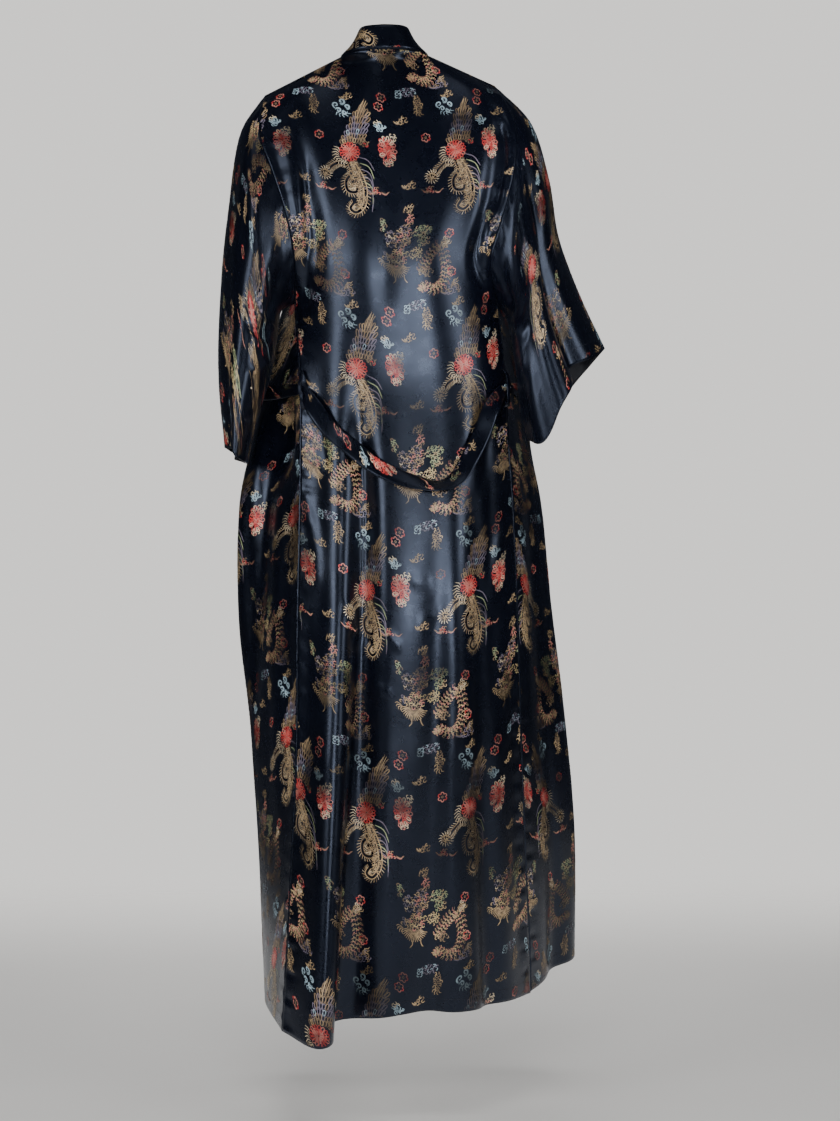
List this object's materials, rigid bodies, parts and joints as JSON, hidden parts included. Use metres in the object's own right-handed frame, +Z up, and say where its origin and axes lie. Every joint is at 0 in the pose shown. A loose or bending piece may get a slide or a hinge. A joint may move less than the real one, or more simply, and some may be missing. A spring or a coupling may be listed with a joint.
{
  "type": "kimono robe",
  "caption": "Long dark satin brocade robe with wide three-quarter sleeves, a folded neckband, open fronts and an untied belt hanging behind between side loops.",
  "frame": {"origin": "the nape, at the middle of the back neckline where the neckband is sewn on; the robe hangs from here and from the shoulders beside it", "axes": "+X is the wearer's left, +Y is behind the wearer and +Z is up; the robe stands as it is worn"},
  "size_m": [0.5549, 0.4422, 1.4266],
  "materials": {
    "satin": "glossy near-black navy satin with woven brocade motifs in muted gold, mauve, pale blue and red",
    "band": "glossy near-black navy satin brocade, folded double",
    "belt": "glossy near-black navy satin brocade strip, folded double",
    "loop": "narrow dark satin strip"
  },
  "bodies": {
    "root": {"back": "satin", "front_left": "satin", "front_right": "satin", "sleeve_left": "satin", "sleeve_right": "satin", "neckband": "band", "belt": "belt", "belt_loop_left": "loop", "belt_loop_right": "loop"}
  },
  "joints": []
}
